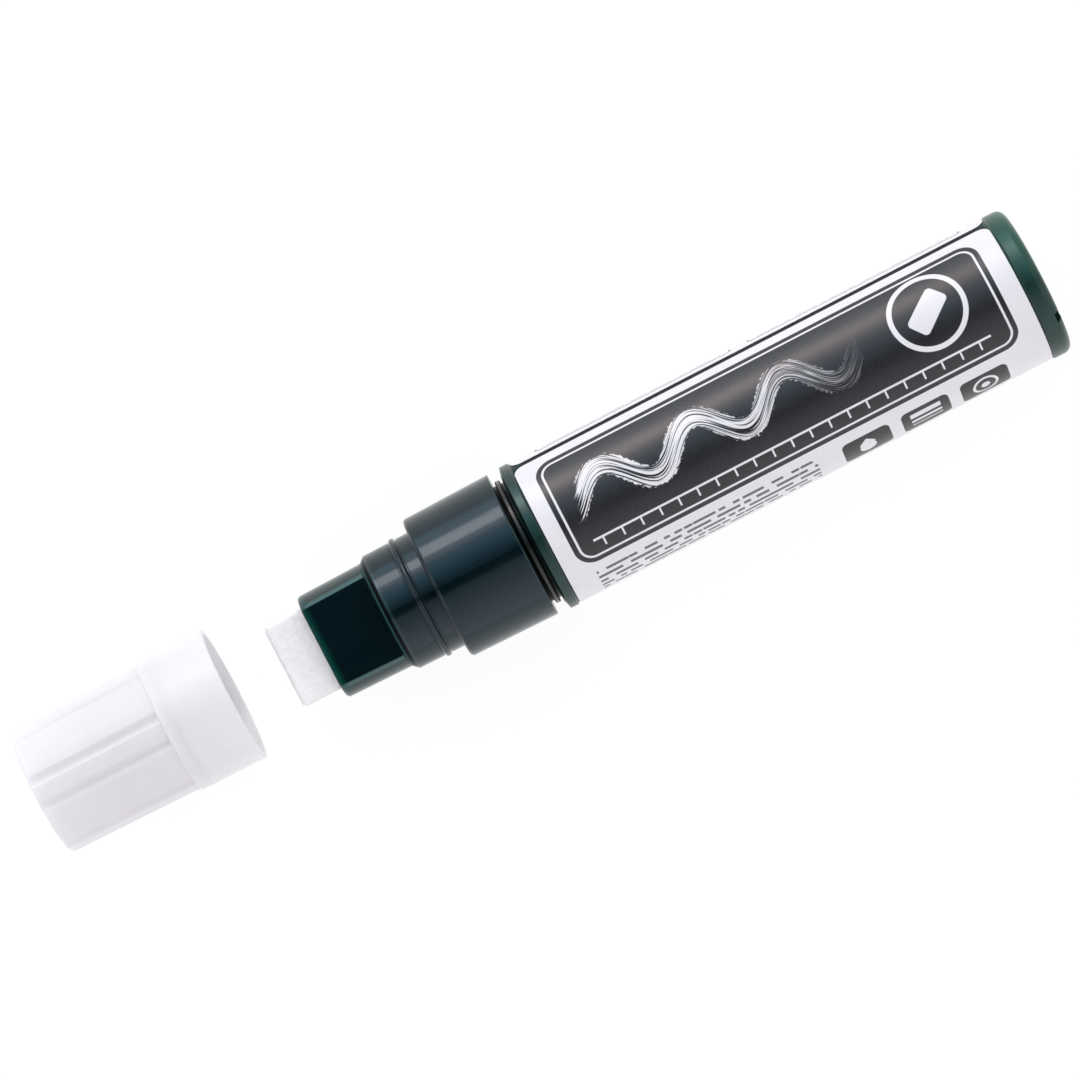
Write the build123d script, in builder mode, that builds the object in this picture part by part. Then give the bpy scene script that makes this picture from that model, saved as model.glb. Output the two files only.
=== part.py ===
from build123d import *
from math import cos, hypot, pi, radians, sin, sqrt
import os

# A jumbo liquid chalk marker with a wide felt nib, a spring valve worked by the nib, two loose
# mixing balls and a fluted cap, with the cap taken off and lying in line in front of the nib.
# Millimetres. The marker lies along X, nib towards -X, on the plane z = 0, and x = 0 is the
# middle of the whole length. Inside sizes follow from the nib outwards, wall by wall.

# Lengths along the marker, from the nib backwards
nib_reach = 7.2
nose_length = 12.1
neck_length = 9.6
collar_length = 16.2
groove_width = 1.9
barrel_length = 95.0
cap_stand_off = 9.5

# Felt nib
nib_width = 15.0
nib_thickness = 8.0
nib_long_edge_radius = 0.8
nib_tip_thickness = 5.2
nib_tip_corner_radius = 1.1
nib_tip_edge_radius = 0.7
nib_wedge_length = 6.0

# Holder: nose with two flats, neck with a snap bead, collar
slot_clearance = 0.15
nose_wall = 1.08
nose_draft = 0.2
nose_flat_wall = 2.0
nose_edge_radius = 0.7
nose_flat_edge_radius = 0.45
nose_root_radius = 0.4
neck_wall = 1.53
neck_draft = 0.1
neck_chamfer_length = 1.0
snap_bead_height = 0.36
snap_bead_width = 1.0
snap_bead_setback = 3.2
snap_groove_width = 0.3
snap_groove_depth = 0.15
collar_front_wall = 3.7
collar_draft = 0.25
collar_inset = 0.15
collar_front_edge_radius = 0.7
collar_rear_edge_radius = 0.3
seat_shoulder = 1.83

# Nib carrier
socket_clearance = 0.05
socket_depth = 4.0
carrier_wall = 0.65
carrier_fit = 0.1
carrier_face_gap = 0.05
carrier_back = 2.0
carrier_channel_width = 6.0
carrier_channel_depth = 3.0
hub_wall = 1.3
hub_length = 1.75
feed_hole_radius = 1.0
feed_hole_count = 4
feed_hole_turn = 45.0
press_travel = 2.5
press_margin = 0.3

# Valve
stem_radius = 2.2
stem_grip = 2.8
stem_fit = 0.03
port_gap = 1.0
flange_thickness = 1.4
case_front_wall = 2.4
plug_length = 5.0
plug_fit = 0.1
plug_skirt_wall = 1.0
valve_tube_wall = 1.3
valve_tube_lip = 0.4
seat_thickness = 1.4
seat_fit = 0.1
seal_gap = 0.05
poppet_length = 1.55
poppet_rim = 0.45
poppet_clearance = 0.8
window_length = 8.0
window_width = 4.0
window_setback = 7.0
spring_wire = 0.7
spring_mean_radius = 3.6
spring_turns = 6
spring_length = 15.9
spring_seat_gap = 0.05
spigot_clearance = 0.35
spigot_length = 2.5
stop_thickness = 1.6
stop_fit = 0.05
stop_hole_radius = 0.8
stop_hole_count = 6
part_gap = 0.03

# Barrel
neck_fit = 0.1
neck_step = 2.5
barrel_neck_wall = 1.25
neck_lead_in = 0.5
neck_rib_height = 0.22
neck_rib_width = 1.2
neck_rib_setback = 3.0
front_face_slope = 0.45
front_face_drop = 1.5
front_bead_width = 1.85
rear_bead_width = 3.4
panel_depth = 0.3
barrel_wall = 1.4
shoulder_wall = 2.0
shoulder_cone = 2.0
base_wall = 1.6
base_push_up = 1.5
base_rim_width = 2.0
heel_radius = 1.5
inner_heel_radius = 1.0
notch_width = 1.8
notch_depth = 1.0
notch_inset = 0.7
notch_angle = 124.0

# Seal ring in the groove
ring_height = 0.65
ring_width = 0.9
ring_fit = 0.05
ring_edge_radius = 0.25

# Label film
label_film = 0.1
label_glue = 0.03
label_margin = 0.15
label_corner_radius = 2.0
label_seam_gap = 1.5
label_seam_angle = 66.0

# Ink and mixing balls
ink_level = 3.0
ink_gap = 0.1
ball_radius = 3.0
ball_gap = 0.1
ball_lane_gap = 0.25
ball_rest_share = 0.6

# Cap and its liner
cap_seat_gap = 0.2
cap_fit = 0.1
cap_band_length = 12.2
cap_band_wall = 0.93
cap_band_draft = 0.1
cap_step = 0.35
cap_taper = 0.35
cap_end_wall = 1.2
cap_end_radius = 0.8
cap_edge_radius = 0.2
flute_depth = 0.35
flute_width = 2.2
flute_pairs = 5
flute_pair_angle = 23.0
liner_fit = 0.1
liner_wall = 0.45
liner_shell_gap = 0.05
liner_flange = 0.8
liner_flange_inset = 0.2
liner_seal_gap = 0.15
liner_floor = 0.8
liner_floor_gap = 0.3
liner_end_drop = 0.8
nib_room = 5.5


def rounded_reach(width, height, corner):
    """Distance from the middle of a rounded rectangle to its furthest point."""
    return hypot(width / 2 - corner, height / 2 - corner) + corner


# Radii, from the nib outwards
slot_width = nib_width + 2 * slot_clearance
slot_height = nib_thickness + 2 * slot_clearance
slot_corner = nib_long_edge_radius + slot_clearance
nose_front_radius = rounded_reach(slot_width, slot_height, slot_corner) + nose_wall
nose_rear_radius = nose_front_radius + nose_draft
nose_flat = slot_height / 2 + nose_flat_wall
socket_width = nib_width + 2 * socket_clearance
socket_height = nib_thickness + 2 * socket_clearance
socket_corner = nib_long_edge_radius + socket_clearance
carrier_radius = rounded_reach(socket_width, socket_height, socket_corner) + carrier_wall
carrier_bore = carrier_radius + carrier_fit
neck_front_radius = carrier_bore + neck_wall
neck_rear_radius = neck_front_radius + neck_draft
collar_bore = carrier_bore + seat_shoulder
barrel_neck_radius = collar_bore - neck_fit
barrel_neck_bore = barrel_neck_radius - barrel_neck_wall
bead_radius = barrel_neck_radius + neck_step
collar_rear_radius = bead_radius - collar_inset
collar_front_radius = collar_rear_radius - collar_draft
panel_radius = bead_radius - panel_depth
cavity_radius = panel_radius - barrel_wall
base_rim_radius = bead_radius - heel_radius - base_rim_width

# Valve radii
port_radius = stem_radius + port_gap
poppet_radius = spring_mean_radius + spring_wire / 2 + poppet_rim
chamber_radius = poppet_radius + poppet_clearance
valve_tube_radius = chamber_radius + valve_tube_wall
plug_radius = barrel_neck_bore - plug_fit
spigot_radius = spring_mean_radius - spring_wire / 2 - spigot_clearance
hub_radius = stem_radius + stem_fit + hub_wall

# Cap radii, from the neck's snap bead and the nose outwards
cap_bore = neck_rear_radius + snap_bead_height + cap_fit
cap_mouth_radius = cap_bore + cap_band_wall
cap_band_radius = cap_mouth_radius - cap_band_draft
cap_body_radius = cap_band_radius - cap_step
cap_end_face_radius = cap_body_radius - cap_taper
liner_bore = nose_rear_radius + liner_fit
liner_radius = liner_bore + liner_wall
shell_bore = liner_radius + liner_shell_gap

# Stations along the axis, x = 0 in the middle of the whole length
cap_depth = neck_length - cap_seat_gap + nose_length + nib_reach + nib_room
cap_length = cap_depth + liner_floor + liner_floor_gap + cap_end_wall
marker_length = (
    nib_reach + nose_length + neck_length + collar_length + groove_width + barrel_length
)
whole_length = cap_length + cap_stand_off + marker_length
x_cap_end = -whole_length / 2
x_cap_mouth = x_cap_end + cap_length
x_nib = x_cap_mouth + cap_stand_off
x_nose = x_nib + nib_reach
x_neck = x_nose + nose_length
x_collar = x_neck + neck_length
x_groove = x_collar + collar_length
x_barrel = x_groove + groove_width
x_rear = x_barrel + barrel_length
x_seat_shoulder = x_collar + collar_front_wall
x_barrel_neck = x_seat_shoulder + flange_thickness + 2 * part_gap
x_hub = x_seat_shoulder - press_margin - press_travel
x_carrier_back = x_hub - hub_length
x_nib_back = x_carrier_back - carrier_back - part_gap
x_carrier = x_nib_back + part_gap - socket_depth
x_slot_end = x_carrier - carrier_face_gap
cap_travel = x_collar - cap_seat_gap - x_cap_mouth

axis_height = bead_radius
spine = Axis((0, 0, axis_height), (1, 0, 0))
lengthwise = Plane(origin=(0, 0, axis_height), x_dir=(1, 0, 0), z_dir=(0, -1, 0))
flatwise = Plane(origin=(0, 0, axis_height), x_dir=(1, 0, 0), z_dir=(0, 0, 1))


def crosswise(station):
    """Plane square to the marker at a station, with its x along +Y and its y along +Z."""
    return Plane(origin=(station, 0, axis_height), x_dir=(0, 1, 0), z_dir=(1, 0, 0))


def band(start, end, inner, outer):
    """Rectangle of a turned profile, between two stations and two radii."""
    with Locations(((start + end) / 2, (inner + outer) / 2)):
        Rectangle(end - start, outer - inner)


rim_tolerance = 1e-4


def rims(part, radius):
    """Round edges of one radius about the marker's axis."""
    circles = part.edges().filter_by(GeomType.CIRCLE)
    return circles.filter_by(lambda edge: abs(edge.radius - radius) < rim_tolerance)


def finish(piece, name):
    """Name a finished piece and write it to its file."""
    piece.part.label = name
    export_step(piece.part, f"parts/{name}.step")


os.makedirs("parts", exist_ok=True)

# Barrel: a bottle with a plain neck for the holder, a bead at each end of the label panel, a
# pushed-up base that it can stand on, and a registration notch in the heel
x_panel_front = x_barrel + front_bead_width + panel_depth
x_panel_rear = x_rear - rear_bead_width - panel_depth
x_cavity = x_barrel + shoulder_wall + shoulder_cone
x_inner_heel = x_rear - base_wall
x_floor = x_inner_heel - base_push_up
x_neck_rib = x_groove - neck_rib_setback
dome_radius = base_rim_radius**2 / (2 * base_push_up) + base_push_up / 2
with BuildPart() as barrel:
    with BuildSketch(lengthwise):
        with BuildLine():
            Line((x_floor, 0), (x_rear - base_push_up, 0))
            RadiusArc((x_rear - base_push_up, 0), (x_rear, base_rim_radius), dome_radius)
            Polyline(
                (x_rear, base_rim_radius),
                (x_rear, bead_radius),
                (x_rear - rear_bead_width, bead_radius),
                (x_panel_rear, panel_radius),
                (x_panel_front, panel_radius),
                (x_barrel + front_bead_width, bead_radius),
                (x_barrel + front_face_slope, bead_radius),
                (x_barrel, bead_radius - front_face_drop),
                (x_barrel, barrel_neck_radius),
                (x_barrel_neck + neck_lead_in, barrel_neck_radius),
                (x_barrel_neck, barrel_neck_radius - neck_lead_in),
                (x_barrel_neck, barrel_neck_bore),
                (x_barrel + shoulder_wall, barrel_neck_bore),
                (x_cavity, cavity_radius),
                (x_inner_heel, cavity_radius),
                (x_inner_heel, base_rim_radius),
            )
            RadiusArc((x_inner_heel, base_rim_radius), (x_floor, 0), -dome_radius)
        make_face()
        with Locations((x_neck_rib, barrel_neck_radius)):
            Ellipse(neck_rib_width / 2, neck_rib_height)
    revolve(axis=spine)
    fillet(rims(barrel, bead_radius).group_by(Axis.X)[-1], heel_radius)
    fillet(rims(barrel, cavity_radius).group_by(Axis.X)[-1], inner_heel_radius)
    with BuildSketch(crosswise(x_rear)):
        with PolarLocations(bead_radius, 1, start_angle=notch_angle):
            Rectangle(2 * (heel_radius + notch_inset), notch_width)
    extrude(amount=-notch_depth, mode=Mode.SUBTRACT)
finish(barrel, "barrel")

# Label: a film wrapped round the panel, whose ends have rounded corners and leave a seam gap
x_label_front = x_panel_front + label_margin
x_label_rear = x_panel_rear - label_margin
label_length = x_label_rear - x_label_front
label_bore = panel_radius + label_glue
label_end_reach = 4 * label_corner_radius
seam = Plane(
    origin=((x_label_front + x_label_rear) / 2, 0, axis_height),
    x_dir=(1, 0, 0),
    z_dir=(0, sin(radians(label_seam_angle)), cos(radians(label_seam_angle))),
)
with BuildPart() as label:
    with BuildSketch(lengthwise):
        band(x_label_front, x_label_rear, label_bore, label_bore + label_film)
    revolve(axis=spine)
    with BuildSketch(seam):
        Rectangle(label_length + label_corner_radius, label_seam_gap + 2 * label_corner_radius)
        with GridLocations(0, label_seam_gap + label_end_reach, 1, 2):
            RectangleRounded(
                label_length, label_end_reach, label_corner_radius, mode=Mode.SUBTRACT
            )
    extrude(amount=bead_radius, mode=Mode.SUBTRACT)
finish(label, "label")

# Holder: nose, neck and collar in one moulding. The nose is round with two flats and a slot for
# the felt, the neck takes the cap over a snap bead, and the collar snaps over the barrel's neck
x_snap_bead = x_collar - snap_bead_setback
x_neck_chamfer = x_neck + neck_chamfer_length
with BuildPart() as holder:
    with BuildSketch(lengthwise):
        with BuildLine():
            Polyline(
                (x_nose, 0),
                (x_nose, nose_front_radius),
                (x_neck, nose_rear_radius),
                (x_neck_chamfer, neck_front_radius),
                (x_collar, neck_rear_radius),
                (x_collar, collar_front_radius),
                (x_groove, collar_rear_radius),
                (x_groove, 0),
                close=True,
            )
        make_face()
        with Locations((x_snap_bead, neck_rear_radius)):
            with GridLocations(snap_bead_width + snap_groove_width, 0, 2, 1):
                Rectangle(snap_groove_width, 2 * snap_groove_depth, mode=Mode.SUBTRACT)
            Ellipse(snap_bead_width / 2, snap_bead_height)
    revolve(axis=spine)
    fillet(rims(holder, collar_front_radius), collar_front_edge_radius)
    fillet(rims(holder, collar_rear_radius), collar_rear_edge_radius)
    with BuildSketch(lengthwise) as flat_cut:
        with Locations((x_nose + nose_length / 2, 0)):
            with GridLocations(0, 2 * (nose_flat + nose_rear_radius), 1, 2):
                Rectangle(nose_length, 2 * nose_rear_radius)
        flat_roots = flat_cut.vertices().group_by(Axis.X)[-1].sort_by(lambda corner: abs(corner.Y))[:2]
        fillet(flat_roots, nose_root_radius)
    extrude(amount=2 * nose_rear_radius, both=True, mode=Mode.SUBTRACT)
    flat_edges = holder.faces().filter_by(Axis.Z).edges().group_by(Axis.X)
    fillet(flat_edges[1], nose_flat_edge_radius)
    nose_face = holder.faces().sort_by(Axis.X)[0]
    fillet(nose_face.edges(), nose_edge_radius)
    with BuildSketch(crosswise(x_nose)):
        RectangleRounded(slot_width, slot_height, slot_corner)
    extrude(amount=x_slot_end - x_nose, mode=Mode.SUBTRACT)
    with BuildSketch(lengthwise):
        band(x_slot_end, x_seat_shoulder, 0, carrier_bore)
        band(x_seat_shoulder, x_groove, 0, collar_bore)
        with Locations((x_neck_rib, barrel_neck_radius)):
            Ellipse(neck_rib_width / 2 + neck_fit, neck_rib_height + neck_fit)
    revolve(axis=spine, mode=Mode.SUBTRACT)
finish(holder, "holder")

# Neck ring: a thin seal ring on the barrel's neck, in the middle of the groove
x_ring = x_groove + (groove_width - ring_width) / 2
ring_radius = barrel_neck_radius + ring_fit + ring_height
with BuildPart() as neck_ring:
    with BuildSketch(lengthwise):
        band(x_ring, x_ring + ring_width, barrel_neck_radius + ring_fit, ring_radius)
    revolve(axis=spine)
    fillet(rims(neck_ring, ring_radius), ring_edge_radius)
finish(neck_ring, "neck_ring")

# Nib: a felt block with rounded long edges, whose tip is a wedge from the side and has rounded
# corners from above
nib_length = x_nib_back - x_nib
with BuildPart() as nib:
    with BuildSketch(crosswise(x_nib)):
        RectangleRounded(nib_width, nib_thickness, nib_long_edge_radius)
    extrude(amount=nib_length)
    with BuildSketch(lengthwise) as nib_side:
        with BuildLine():
            Polyline(
                (x_nib, -nib_tip_thickness / 2),
                (x_nib, nib_tip_thickness / 2),
                (x_nib + nib_wedge_length, nib_thickness / 2),
                (x_nib_back, nib_thickness / 2),
                (x_nib_back, -nib_thickness / 2),
                (x_nib + nib_wedge_length, -nib_thickness / 2),
                close=True,
            )
        make_face()
        fillet(nib_side.vertices().group_by(Axis.X)[0], nib_tip_edge_radius)
    extrude(amount=nib_width, both=True, mode=Mode.INTERSECT)
    with BuildSketch(flatwise) as nib_plan:
        with Locations(((x_nib + x_nib_back) / 2, 0)):
            Rectangle(nib_length, nib_width)
        fillet(nib_plan.vertices().group_by(Axis.X)[0], nib_tip_corner_radius)
    extrude(amount=nib_thickness, both=True, mode=Mode.INTERSECT)
finish(nib, "nib")

# Nib carrier: a cup that grips the back of the felt, slides in the neck and pushes the stem. Ink
# comes through its back and along the channels above and below the felt
feed_hole_ring = (hub_radius + carrier_radius) / 2
with BuildPart() as nib_carrier:
    with BuildSketch(lengthwise):
        band(x_carrier, x_carrier_back, 0, carrier_radius)
        band(x_carrier_back, x_hub, 0, hub_radius)
    revolve(axis=spine)
    with BuildSketch(crosswise(x_carrier)):
        RectangleRounded(socket_width, socket_height, socket_corner)
    extrude(amount=socket_depth, mode=Mode.SUBTRACT)
    with BuildSketch(crosswise(x_carrier)):
        with GridLocations(0, 2 * carrier_radius, 1, 2):
            Rectangle(carrier_channel_width, 2 * carrier_channel_depth)
    extrude(amount=x_carrier_back - x_carrier, mode=Mode.SUBTRACT)
    with BuildSketch(crosswise(x_hub)):
        Circle(stem_radius + stem_fit)
    extrude(amount=-stem_grip, mode=Mode.SUBTRACT)
    with BuildSketch(crosswise(x_carrier_back)):
        with PolarLocations(feed_hole_ring, feed_hole_count, start_angle=feed_hole_turn):
            Circle(feed_hole_radius)
    extrude(amount=-carrier_back, mode=Mode.SUBTRACT)
finish(nib_carrier, "nib_carrier")

# Valve case: its flange is held between the holder's shoulder and the end of the barrel's neck,
# its skirt plugs the neck, and its tube holds the valve and lets ink in through four windows
x_flange = x_seat_shoulder + part_gap
x_plug_end = x_flange + flange_thickness + plug_length
x_chamber = x_flange + case_front_wall
x_poppet = x_chamber + part_gap + seat_thickness + seal_gap
x_spring = x_poppet + poppet_length + spring_seat_gap
x_stop = x_spring + spring_length + spring_seat_gap
x_valve_end = x_stop + stop_thickness + valve_tube_lip
x_window = x_valve_end - window_setback - window_length / 2
with BuildPart() as valve_case:
    with BuildSketch(lengthwise):
        band(x_flange, x_flange + flange_thickness, port_radius, collar_bore - part_gap)
        band(x_flange, x_chamber, port_radius, plug_radius)
        band(x_flange, x_plug_end, plug_radius - plug_skirt_wall, plug_radius)
        band(x_flange, x_valve_end, chamber_radius, valve_tube_radius)
    revolve(axis=spine)
    for window_plane in (lengthwise, flatwise):
        with BuildSketch(window_plane):
            with Locations((x_window, 0)):
                SlotOverall(window_length, window_width)
        extrude(amount=valve_tube_radius, both=True, mode=Mode.SUBTRACT)
finish(valve_case, "valve_case")

# Valve seat: a rubber ring against the case's front wall
x_seat = x_chamber + part_gap
with BuildPart() as valve_seat:
    with BuildSketch(lengthwise):
        band(x_seat, x_seat + seat_thickness, port_radius, chamber_radius - seat_fit)
    revolve(axis=spine)
finish(valve_seat, "valve_seat")

# Valve stem: a rod from the carrier's hub through the port to the poppet, with a spigot that
# centres the spring
with BuildPart() as valve_stem:
    with BuildSketch(lengthwise):
        band(x_hub - stem_grip + part_gap, x_poppet, 0, stem_radius)
        band(x_poppet, x_poppet + poppet_length, 0, poppet_radius)
        band(x_poppet, x_poppet + poppet_length + spigot_length, 0, spigot_radius)
    revolve(axis=spine)
finish(valve_stem, "valve_stem")

# Valve spring: an open coil between the poppet and the stop, as arcs of a quarter turn in pairs
coil_start = x_spring + spring_wire / 2
coil_pitch = (spring_length - spring_wire) / spring_turns


def coil_point(turn):
    """Point of the coil's middle line after a number of turns."""
    angle = 2 * pi * turn
    return Vector(
        coil_start + coil_pitch * turn,
        spring_mean_radius * cos(angle),
        axis_height + spring_mean_radius * sin(angle),
    )


def coil_direction(turn):
    """Direction of the coil's middle line after a number of turns."""
    angle = 2 * pi * turn
    around = 2 * pi * spring_mean_radius
    return Vector(coil_pitch, -around * sin(angle), around * cos(angle)).normalized()


quarters = 4 * spring_turns
with BuildPart() as valve_spring:
    with BuildLine() as coil:
        for quarter in range(quarters):
            begin, stop = coil_point(quarter / 4), coil_point((quarter + 1) / 4)
            leave, arrive = coil_direction(quarter / 4), coil_direction((quarter + 1) / 4)
            chord = stop - begin
            lean = chord.dot(leave + arrive)
            turn_share = 2 * (1 - leave.dot(arrive))
            handle = (sqrt(lean**2 + turn_share * chord.dot(chord)) - lean) / turn_share
            middle = (begin + stop + (leave - arrive) * handle) * 0.5
            first_arc = TangentArc(begin, middle, tangent=leave)
            TangentArc(middle, stop, tangent=first_arc % 1)
    with BuildSketch(Plane(origin=coil_point(0), z_dir=coil_direction(0))):
        Circle(spring_wire / 2)
    sweep(path=coil.line)
finish(valve_spring, "valve_spring")
steps_per_turn = 48
coil_points = [coil_point(n / steps_per_turn) for n in range(spring_turns * steps_per_turn + 1)]
coil_gaps = [
    (coil_points[j] - coil_points[i]).length - spring_wire
    for i in range(len(coil_points))
    for j in range(i + steps_per_turn // 2, len(coil_points))
]
print(f"valve spring: least gap to itself {min(coil_gaps):.2f} mm")

# Spring stop: a pierced plug snapped into the end of the valve's tube
with BuildPart() as spring_stop:
    with BuildSketch(lengthwise):
        band(x_stop, x_stop + stop_thickness, 0, chamber_radius - stop_fit)
        band(x_stop - spigot_length, x_stop, 0, spigot_radius)
    revolve(axis=spine)
    with BuildSketch(crosswise(x_stop)):
        with PolarLocations((spigot_radius + chamber_radius) / 2, stop_hole_count):
            Circle(stop_hole_radius)
    extrude(amount=stop_thickness, mode=Mode.SUBTRACT)
finish(spring_stop, "spring_stop")

# Mixing balls: two loose steel balls side by side at the bottom of the barrel
ball_spread = ball_radius + ball_gap
ball_orbit = cavity_radius - ball_radius - ball_gap
ball_drop = sqrt(ball_orbit**2 - ball_spread**2)
x_ball_first = x_valve_end + ball_radius + ball_gap
x_ball_last = x_floor - ball_radius - ball_gap
x_ball = x_ball_first + ball_rest_share * (x_ball_last - x_ball_first)
for ball_number, side in ((1, -1), (2, 1)):
    with BuildPart() as mixing_ball:
        with Locations((x_ball, side * ball_spread, axis_height - ball_drop)):
            Sphere(ball_radius)
    finish(mixing_ball, f"mixing_ball_{ball_number}")

# Ink: the liquid lying in the barrel up to its level, round the valve's tube and clear of the
# lane in which the balls roll
x_ink = x_cavity + ink_gap
lane_radius = ball_radius + ball_lane_gap
with BuildPart() as ink:
    with BuildSketch(crosswise(x_ink)):
        Circle(cavity_radius - ink_gap)
        with Locations((0, ink_level + cavity_radius)):
            Rectangle(2 * cavity_radius, 2 * cavity_radius, mode=Mode.SUBTRACT)
        with Locations((0, -ball_drop)):
            SlotCenterToCenter(2 * ball_spread, 2 * lane_radius, mode=Mode.SUBTRACT)
        with Locations((0, -ball_drop - cavity_radius / 2)):
            Rectangle(
                2 * (ball_spread + lane_radius), cavity_radius, mode=Mode.SUBTRACT
            )
    extrude(amount=x_floor - ink_gap - x_ink)
    with BuildSketch(lengthwise):
        band(x_ink, x_valve_end + ink_gap, 0, valve_tube_radius + ink_gap)
    revolve(axis=spine, mode=Mode.SUBTRACT)
finish(ink, "ink")

# Cap shell: a tapered cup with a smooth band at its mouth and pairs of shallow flutes in front of
# the band, running out over the closed end
x_cap_step = x_cap_mouth - cap_band_length
x_shell_floor = x_cap_end + cap_end_wall
x_liner_flange = x_cap_mouth - neck_length + cap_seat_gap - liner_seal_gap
x_liner_seat = x_liner_flange - liner_flange
x_liner_taper = x_liner_seat - nose_length
flute_radius = (flute_width**2 / 4 + flute_depth**2) / (2 * flute_depth)
flute_offset = cap_end_face_radius - flute_depth + flute_radius
flute_length = x_cap_step - x_cap_end
flute_planes = []
for pair in range(flute_pairs):
    for side in (-0.5, 0.5):
        angle = radians(360 / flute_pairs * pair + flute_pair_angle * side)
        outwards = Vector(0, sin(angle), cos(angle))
        flute_start = Vector(x_cap_end, 0, axis_height) + outwards * flute_offset
        flute_along = Vector(flute_length, 0, 0) + outwards * cap_taper
        flute_planes.append(Plane(origin=flute_start, z_dir=flute_along))
with BuildPart() as cap_shell:
    with BuildSketch(lengthwise):
        with BuildLine():
            Polyline(
                (x_cap_end, 0),
                (x_cap_end, cap_end_face_radius),
                (x_cap_step, cap_body_radius),
                (x_cap_step, cap_band_radius),
                (x_cap_mouth, cap_mouth_radius),
                (x_cap_mouth, cap_bore),
                (x_liner_seat, cap_bore),
                (x_liner_seat, shell_bore),
                (x_liner_taper, shell_bore),
                (x_shell_floor, shell_bore - liner_end_drop),
                (x_shell_floor, 0),
                close=True,
            )
        make_face()
    revolve(axis=spine)
    fillet(rims(cap_shell, cap_end_face_radius), cap_end_radius)
    fillet(rims(cap_shell, cap_band_radius) + rims(cap_shell, cap_mouth_radius), cap_edge_radius)
    with BuildSketch(*flute_planes):
        Circle(flute_radius)
    extrude(amount=flute_length, mode=Mode.SUBTRACT)
finish(cap_shell, "cap_shell")

# Inner cap: a thin liner seated on the shell's step, whose flange closes on the neck
x_liner_end = x_shell_floor + liner_floor_gap
with BuildPart() as inner_cap:
    with BuildSketch(lengthwise):
        with BuildLine():
            Polyline(
                (x_liner_flange, liner_bore),
                (x_liner_flange, cap_bore - liner_flange_inset),
                (x_liner_seat + part_gap, cap_bore - liner_flange_inset),
                (x_liner_seat + part_gap, liner_radius),
                (x_liner_taper, liner_radius),
                (x_liner_end, liner_radius - liner_end_drop),
                (x_liner_end, 0),
                (x_liner_end + liner_floor, 0),
                (x_liner_end + liner_floor, liner_bore - liner_end_drop),
                (x_liner_taper, liner_bore),
                close=True,
            )
        make_face()
    revolve(axis=spine)
finish(inner_cap, "inner_cap")

print(f"whole length {whole_length:.2f} mm, barrel diameter {2 * bead_radius:.2f} mm")
print(f"stations: nib {x_nib:.2f}, collar {x_collar:.2f}, barrel {x_barrel:.2f}, rear {x_rear:.2f}")
print(f"cap travel {cap_travel:.2f} mm, cap length {cap_length:.2f} mm, axis {axis_height:.3f} mm")
print(f"ball rest {x_ball:.2f}, travel {x_ball_first:.2f} to {x_ball_last:.2f}")
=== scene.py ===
import math

import bpy
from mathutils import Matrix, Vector


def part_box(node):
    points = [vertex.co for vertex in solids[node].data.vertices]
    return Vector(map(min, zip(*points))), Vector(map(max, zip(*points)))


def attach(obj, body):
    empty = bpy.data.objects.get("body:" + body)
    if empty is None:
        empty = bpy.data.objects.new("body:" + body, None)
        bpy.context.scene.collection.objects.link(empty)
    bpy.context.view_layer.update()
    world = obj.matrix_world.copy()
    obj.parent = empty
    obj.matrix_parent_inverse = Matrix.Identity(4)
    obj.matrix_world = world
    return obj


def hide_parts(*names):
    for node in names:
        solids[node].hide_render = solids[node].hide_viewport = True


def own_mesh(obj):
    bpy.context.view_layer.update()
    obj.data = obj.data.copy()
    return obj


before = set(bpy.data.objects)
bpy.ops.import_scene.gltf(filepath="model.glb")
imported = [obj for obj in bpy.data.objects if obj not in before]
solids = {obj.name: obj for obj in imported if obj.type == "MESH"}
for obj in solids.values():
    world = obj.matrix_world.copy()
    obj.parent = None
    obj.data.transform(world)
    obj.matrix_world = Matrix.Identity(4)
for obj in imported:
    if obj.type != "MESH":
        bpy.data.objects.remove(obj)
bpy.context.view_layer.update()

# Table: a white laminate top that the marker and its cap lie on. It shows as white paper, apart from
# the soft shadow that they leave on it, and gloss and clear plastic show it as white too.
table_size = 8
table_height = -0.00002
laminate_white = (0.9, 0.9, 0.9, 1)
paper_strength = 1.06
paper_share = 0.86


def add_node(tree, kind, **settings):
    """A new node in a material's tree or in the studio's."""
    node = tree.nodes.new(kind)
    for name, value in settings.items():
        setattr(node, name, value)
    return node


def reckon(tree, operation, *values, **settings):
    """One step of arithmetic, on numbers or on what other nodes give."""
    step = add_node(tree, "ShaderNodeMath", operation=operation, **settings)
    for socket, value in zip(step.inputs, values):
        if isinstance(value, (int, float)):
            socket.default_value = value
        else:
            tree.links.new(value, socket)
    return step.outputs[0]


bpy.context.scene.view_settings.view_transform = "Standard"
bpy.ops.object.select_all(action="DESELECT")
bpy.ops.mesh.primitive_plane_add(size=table_size, location=(0, 0, table_height))
table = bpy.context.object
table.name = "table"
table_top = bpy.data.materials.new("table_top")
table_top.use_nodes = True
tree = table_top.node_tree
tree.nodes.clear()
laminate = add_node(tree, "ShaderNodeBsdfDiffuse")
laminate.inputs["Color"].default_value = laminate_white
paper = add_node(tree, "ShaderNodeEmission")
paper.inputs["Strength"].default_value = paper_strength
ray = add_node(tree, "ShaderNodeLightPath").outputs
seen = reckon(tree, "ADD", ray["Is Camera Ray"], ray["Is Glossy Ray"])
seen_through = reckon(tree, "ADD", seen, ray["Is Transmission Ray"], use_clamp=True)
top_mix = add_node(tree, "ShaderNodeMixShader")
tree.links.new(reckon(tree, "MULTIPLY", seen_through, paper_share), top_mix.inputs["Fac"])
tree.links.new(laminate.outputs[0], top_mix.inputs[1])
tree.links.new(paper.outputs[0], top_mix.inputs[2])
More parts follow.
